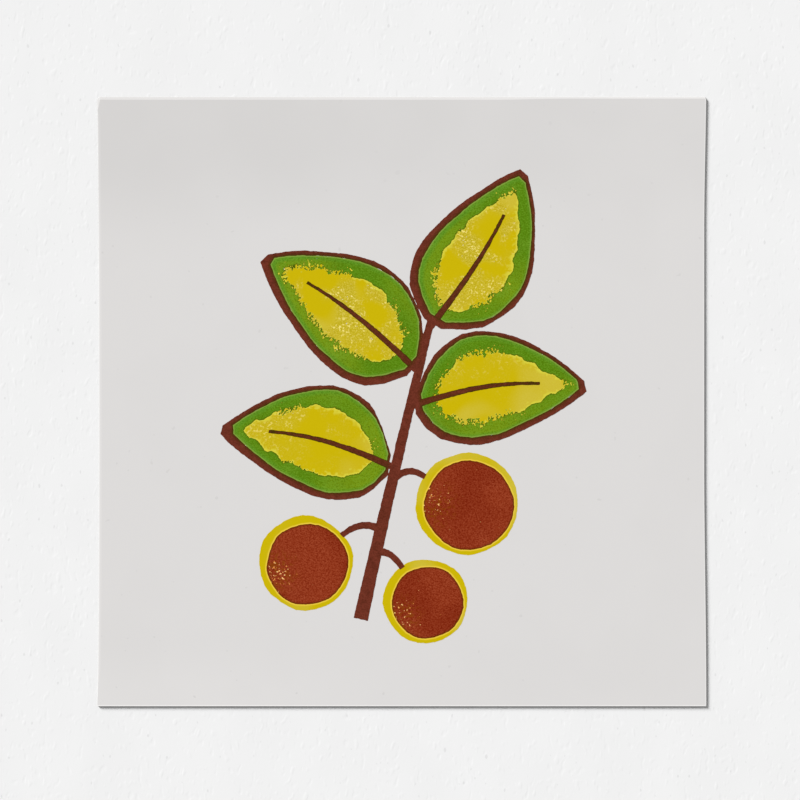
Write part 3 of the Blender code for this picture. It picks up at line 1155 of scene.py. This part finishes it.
def albedo(red, green, blue, glare=0.0):
    """Surface colour that shows as the given eight-bit values under this light."""
    scale = FLOOR_ALBEDO / linear(FLOOR_SHOWN)
    return tuple(max(linear(value) - glare, DARKEST) * scale for value in (red, green, blue)) + (1.0,)


def ink_colour(red, green, blue):
    return albedo(red, green, blue, INK_GLARE)


# %% [markdown]
# ## Rubbed ink
# Every ink shows the same kinds of unevenness in its own strength: a fine grain from the paper's
# tooth, clouds where the roller left less, pools where it left more, and a darker line where the
# block's edge squeezed the ink out. They are one node group, which gives a colour, a roughness and a
# height. Each ink then places it with its own colours and amounts.

# %% Rubbed ink
GREY = (0.5, 0.5, 0.5, 1.0)
INK_COLOURS = ("Body", "Deep", "Thin", "Edge")
# each amount, and what it is unless an ink says otherwise
INK_AMOUNTS = {"Grain": 0.0, "Clouds": 0.0, "Pools": 0.0, "Cloud scale": 42.0, "Rim": 0.0, "Rim width": 0.5}
FINE_GRAIN = 3400.0
BROAD_GRAIN = 2200.0
BROAD_TURN = 0.5            # radians
BROAD_SQUASH = (0.8, 1.0, 1.0)
# stretches of a noise over which each kind of unevenness sets in
THIN_GRAIN = (0.51, 0.38)
DEEP_GRAIN = (0.49, 0.62)
CLOUDS = (0.50, 0.68)
POOLS = (0.46, 0.66)
GRAIN_ROUGHNESS = (0.3, 0.7, 0.70, 0.55)


def rubbed_ink_group():
    tree = bpy.data.node_groups.new("Rubbed_ink", "ShaderNodeTree")
    new_socket = tree.interface.new_socket
    for label in INK_COLOURS:
        new_socket(label, in_out="INPUT", socket_type="NodeSocketColor").default_value = GREY
    for label, usual in INK_AMOUNTS.items():
        new_socket(label, in_out="INPUT", socket_type="NodeSocketFloat").default_value = usual
    new_socket("Color", in_out="OUTPUT", socket_type="NodeSocketColor")
    new_socket("Roughness", in_out="OUTPUT", socket_type="NodeSocketFloat")
    new_socket("Height", in_out="OUTPUT", socket_type="NodeSocketFloat")
    ins, outs = tree.nodes.new("NodeGroupInput").outputs, tree.nodes.new("NodeGroupOutput").inputs

    def share(value, stretch, amount):
        """A smooth step in the strength of an input."""
        return math_of(tree, "MULTIPLY", ranged(tree, value, *stretch), ins[amount])

    place = object_place(tree)
    turned = squashed(tree, place, BROAD_SQUASH, BROAD_TURN)
    grain = math_of(tree, "ADD", noise_of(tree, place, FINE_GRAIN), noise_of(tree, turned, BROAD_GRAIN))
    grain = math_of(tree, "MULTIPLY", grain, 0.5)
    clouds = noise_of(tree, place, ins["Cloud scale"], 3.0)
    pools = noise_of(tree, turned, ins["Cloud scale"], 2.0)
    squeezed = ranged(tree, mask_of(tree, "rim"), 0.0, ins["Rim width"], 1.0, 0.0)
    thin = share(grain, THIN_GRAIN, "Grain")
    thin = math_of(tree, "ADD", thin, share(clouds, CLOUDS, "Clouds"), clamp=True)
    deep = share(grain, DEEP_GRAIN, "Grain")
    deep = math_of(tree, "ADD", deep, share(pools, POOLS, "Pools"), clamp=True)
    body = mixed(tree, deep, mixed(tree, thin, ins["Body"], ins["Thin"]), ins["Deep"])
    rimmed = mixed(tree, math_of(tree, "MULTIPLY", squeezed, ins["Rim"]), body, ins["Edge"])
    tree.links.new(rimmed, outs["Color"])
    tree.links.new(ranged(tree, grain, *GRAIN_ROUGHNESS), outs["Roughness"])
    tree.links.new(grain, outs["Height"])
    return tree


rubbed_ink = rubbed_ink_group()
print("rubbed ink has", len(rubbed_ink.nodes), "nodes")

# %% An ink's material
INK_SHEEN = 0.04


def ink_material(name, relief, **settings):
    """Material of rubbed ink, its tree and its effect. The settings are the effect's inputs in
    small letters, each a colour as the picture shows it or an amount."""
    material, tree = new_material(name, INK_SHEEN)
    effect = tree.nodes.new("ShaderNodeGroup")
    effect.node_tree = rubbed_ink
    for label, setting in settings.items():
        value = ink_colour(*setting) if isinstance(setting, tuple) else setting
        effect.inputs[label.capitalize().replace("_", " ")].default_value = value
    surface(tree, "Roughness", effect.outputs["Roughness"])
    bumped(tree, effect.outputs["Height"], relief)
    return material, tree, effect


# %% [markdown]
# ## The four inks
# Rust is one flat colour, stained here and there round its pinholes. Yellow is worn where the salt
# drifts are: the tooth of the paper shows as pale grains too fine to cut as holes. Beside a later
# ink the press squeezed it to a brighter lip, and below the rust it is stained orange, which the
# pinholes show. Green is warmer where yellow lies below it and bluer on bare paper, and pale along
# its cut edge, where it lies thin. Brown is redder on bare paper than beside the green. So a mask
# chooses what their body colour is.

# %% Rust
# scale and detail of a noise, the stretch of it that counts, and what it gives at both ends
NEST_STAINS = (1100.0, 1.0, 0.48, 0.64, 0.0, 0.75)

rust_ink, tree, effect = ink_material(
    "Rust_ink", relief=0.006 * MM,
    body=(145, 55, 28), deep=(120, 32, 12), thin=(164, 76, 48), edge=(100, 44, 0),
    grain=0.75, clouds=0.25, pools=0.4, cloud_scale=45.0, rim=0.9, rim_width=RUST_RIM_WIDTH)
stains = math_of(tree, "MULTIPLY", speckled(tree, object_place(tree), *NEST_STAINS), mask_of(tree, "nest"))
surface(tree, "Base Color", mixed(tree, stains, effect.outputs["Color"], ink_colour(137, 68, 8)))

# %% Yellow
# input, then the colour where the yellow lies rich, in its broad paler patches and worn dry
YELLOWS = (
    ("Body", (205, 182, 3), (208, 189, 57), (199, 179, 38)),
    ("Deep", (202, 179, 2), (204, 185, 47), (186, 166, 27)),
    ("Thin", (209, 187, 14), (212, 193, 70), (216, 197, 74)),
)
PALE_PATCHES = (34.0, 2.0, 0.49, 0.62)
YELLOW_GRAIN = (0.0, 0.8, 0.35, 0.85)   # from full to worn, and the strength of the grain on both

yellow_ink, tree, effect = ink_material("Yellow_ink", relief=0.003 * MM)
place = object_place(tree)
drift = mask_of(tree, "drift")
pale_patches = speckled(tree, place, *PALE_PATCHES)
for label, rich, pale_yellow, dry in YELLOWS:
    fresh = mixed(tree, pale_patches, ink_colour(*rich), ink_colour(*pale_yellow))
    tree.links.new(mixed(tree, drift, fresh, ink_colour(*dry)), effect.inputs[label])
tree.links.new(ranged(tree, drift, *YELLOW_GRAIN), effect.inputs["Grain"])

# %% Yellow's worn grains, lip and stain
WORN_GRAINS = (1300.0, 1.0, 0.57, 0.66)
GRAIN_SWARMS = (260.0, 1.0, 0.40, 0.60, 0.25, 1.0)
STAIN_SPOTS = (1700.0, 0.0, 0.40, 0.60)
LIP_RANGE = (-LIP_WIDTH, -LIP_CREST, 0.0, 0.9)
NEAR_RUST = (-2.0, -1.0)    # millimetres outside the rust, where the lip's colour turns
BELOW_RUST = (0.0, 0.15)    # millimetres inside it, where the stain sets in

wear = math_of(tree, "MULTIPLY", speckled(tree, place, *WORN_GRAINS), speckled(tree, place, *GRAIN_SWARMS))
wear = math_of(tree, "MULTIPLY", wear, drift)
worn = mixed(tree, wear, effect.outputs["Color"], albedo(248, 229, 128))
under = mask_of(tree, "under")
lip = ranged(tree, mask_of(tree, "pressed"), *LIP_RANGE)
lip_colour = mixed(tree, ranged(tree, under, *NEAR_RUST), albedo(219, 211, 66), albedo(241, 205, 70))
worn = mixed(tree, lip, worn, lip_colour)
stain = mixed(tree, speckled(tree, place, *STAIN_SPOTS), albedo(226, 142, 64), albedo(250, 202, 132))
surface(tree, "Base Color", mixed(tree, ranged(tree, under, *BELOW_RUST), worn, stain))

# %% Green
WARMTH = (22.0, 1.0, 0.42, 0.58)
OVER_YELLOW = (-0.4, 1.2)   # millimetres inside the yellow's edge
PALE_RANGE = (PALE_WIDTH, 0.15, 0.0, 0.85)

green_ink, tree, effect = ink_material(
    "Green_ink", relief=0.006 * MM,
    body=(92, 138, 16), deep=(80, 112, 3), thin=(114, 157, 42), edge=(82, 100, 0),
    grain=0.6, clouds=0.3, pools=0.15, cloud_scale=110.0, rim=1.0, rim_width=RIM_WIDTH)
on_yellow = mixed(tree, speckled(tree, object_place(tree), *WARMTH), ink_colour(89, 136, 18),
                  ink_colour(122, 152, 22))
over = ranged(tree, mask_of(tree, "over"), *OVER_YELLOW)
tree.links.new(mixed(tree, over, ink_colour(93, 148, 38), on_yellow), effect.inputs["Body"])
pale = ranged(tree, mask_of(tree, "outer"), *PALE_RANGE)
surface(tree, "Base Color", mixed(tree, pale, effect.outputs["Color"], albedo(134, 161, 66)))

# %% Brown
brown_ink, tree, effect = ink_material(
    "Brown_ink", relief=0.005 * MM,
    body=(104, 50, 34), deep=(80, 36, 22), thin=(122, 58, 43), edge=(68, 52, 0),
    grain=0.45, clouds=0.45, pools=0.3, cloud_scale=520.0, rim=0.9, rim_width=BROWN_RIM_WIDTH)
over = ranged(tree, mask_of(tree, "over"), *REDDER)
tree.links.new(mixed(tree, over, ink_colour(110, 51, 37), ink_colour(94, 48, 25)), effect.inputs["Body"])
surface(tree, "Base Color", effect.outputs["Color"])
for ink in (rust_ink, yellow_ink, green_ink, brown_ink):
    print(ink.name, "has", len(ink.node_tree.nodes), "nodes")

# %% [markdown]
# ## Paper and floor
# The sheet is a smooth, uncoated, slightly warm grey paper. Its upper left is painted a little darker
# and its lower left corner a little lighter, as painted shade and painted light. It has a fine tooth
# and rare small flecks, and its cut sides are painted darker, as painted shade. The floor is a plain
# white board with a fine, sparse mottle. Tooth, flecks and mottle are too shallow to model, so noise
# gives their colour and their bumps.

# %% Paper
PAPER_ROUGHNESS = 0.9
PAPER_SHEEN = 0.1
PAINTED_SHADE_HEAD = (0.048, 0.082)      # up the sheet, where painted shade darkens it
PAINTED_SHADE_SLOPE = -3.4               # how the painted shade fades, for each metre to the right
PAINTED_SHADE_MIDDLE = 0.7               # how strong the painted shade is half way across
PAINTED_LIGHT_FOOT = (-0.078, -0.096)   # down the sheet, where painted light makes it lighter
PAINTED_LIGHT_SIDE = (0.030, -0.070)    # and how far to the left
PAPER_DRIFTS = (30.0, 2.0, 0.35, 0.65, -0.12, 0.12)
FLECKS = (420.0, 1.0, 0.74, 0.80)
PAPER_TOOTH = (1500.0, 2.0)
PAPER_RELIEF = 0.0008 * MM


# plain is the paper's own colour; dark is its colour under the painted shade and in its flecks; light is its
# colour under the painted light
def paper_material(name, plain, dark, light):
    material, tree = new_material(name, PAPER_SHEEN)
    surface(tree, "Roughness", PAPER_ROUGHNESS)
    place = object_place(tree)
    split = tree.nodes.new("ShaderNodeSeparateXYZ")
    tree.links.new(place, split.inputs[0])
    right, up = split.outputs["X"], split.outputs["Y"]
    # painted shade: darker towards the top, more so on the left; painted light: lighter at the lower left
    # corner; the paper's own drifts and flecks are added to the shade
    across = math_of(tree, "ADD", math_of(tree, "MULTIPLY", right, PAINTED_SHADE_SLOPE), PAINTED_SHADE_MIDDLE)
    shade = math_of(tree, "MULTIPLY", ranged(tree, up, *PAINTED_SHADE_HEAD), across)
    painted_glow = math_of(tree, "MULTIPLY", ranged(tree, up, *PAINTED_LIGHT_FOOT), ranged(tree, right, *PAINTED_LIGHT_SIDE))
    shade = math_of(tree, "ADD", shade, speckled(tree, place, *PAPER_DRIFTS))
    shade = math_of(tree, "ADD", shade, speckled(tree, place, *FLECKS), clamp=True)
    lit = mixed(tree, painted_glow, albedo(*plain), albedo(*light))
    surface(tree, "Base Color", mixed(tree, shade, lit, albedo(*dark)))
    bumped(tree, noise_of(tree, place, *PAPER_TOOTH), PAPER_RELIEF)
    return material


heavy_paper = paper_material("Heavy_paper", plain=(221.6, 219.5, 218.2), dark=(214, 212, 210.6),
                             light=(224.6, 222.5, 221.2))
# the cut sides are far darker than the paper: painted shade, which also dims the light they throw onto the
# floor
shaded_cut_side = paper_material("Shaded_cut_side", plain=(132, 130, 127), dark=(120, 118, 115), light=(132, 130, 127))

# %% Floor board
BOARD_SQUASH = (0.9, 0.5, 1.0)
BOARD_MOTTLE = 470.0
DENTS = (0.42, 0.20)        # stretches of the mottle
KNOBS = (0.60, 0.80)
BOARD_PITS = (900.0, 0.0, 0.22, 0.14)
BROAD_TONE = (60.0, 2.0, 0.3, 0.7)
BOARD_RELIEF = 0.019 * MM

white_board, tree = new_material("White_board", PAPER_SHEEN)
surface(tree, "Roughness", PAPER_ROUGHNESS)
place = squashed(tree, object_place(tree), BOARD_SQUASH)
mottle = noise_of(tree, place, BOARD_MOTTLE)
white = mixed(tree, speckled(tree, place, *BROAD_TONE), albedo(243, 243, 243), albedo(241, 241, 241))
surface(tree, "Base Color", mixed(tree, speckled(tree, place, *BOARD_PITS), white, albedo(230, 230, 230)))
relief = math_of(tree, "SUBTRACT", ranged(tree, mottle, *KNOBS), ranged(tree, mottle, *DENTS))
bumped(tree, relief, BOARD_RELIEF)
floor.data.materials.append(white_board)

# %% [markdown]
# ## Put the pieces on the frame
# Each piece gets its finish, rides on the one body and takes the place of its plain solid. The sheet
# could be split for its two finishes, but it stays one piece that carries both, so its upright faces
# get the cut sides' paper, painted darker as shade.

# %% Finish the pieces
UPRIGHT = 0.3               # most that the normal of a cut side points up or down


def finish_piece(piece, material, node):
    piece.data.materials.append(material)
    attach(piece, "root")
    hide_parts(node)


finish_piece(sheet, heavy_paper, "paper_sheet")
# upright faces take the cut sides' paper, painted darker as shade
sheet.data.materials.append(shaded_cut_side)
for face in sheet.data.polygons:
    if abs(face.normal.z) < UPRIGHT:
        face.material_index = 1
finish_piece(brown, brown_ink, "brown_twig")
for films, ink, slot, node in (
    (yellow_hearts, yellow_ink, "yellow_ink", "yellow_leaf_%d"),
    (yellow_halos, yellow_ink, "yellow_ink", "yellow_halo_%d"),
    (green_bands, green_ink, "green_ink", "green_leaf_%d"),
    (rust_berries, rust_ink, "rust_ink", "rust_berry_%d"),
):
    for number, film in enumerate(films, 1):
        finish_piece(film, ink, node % number)
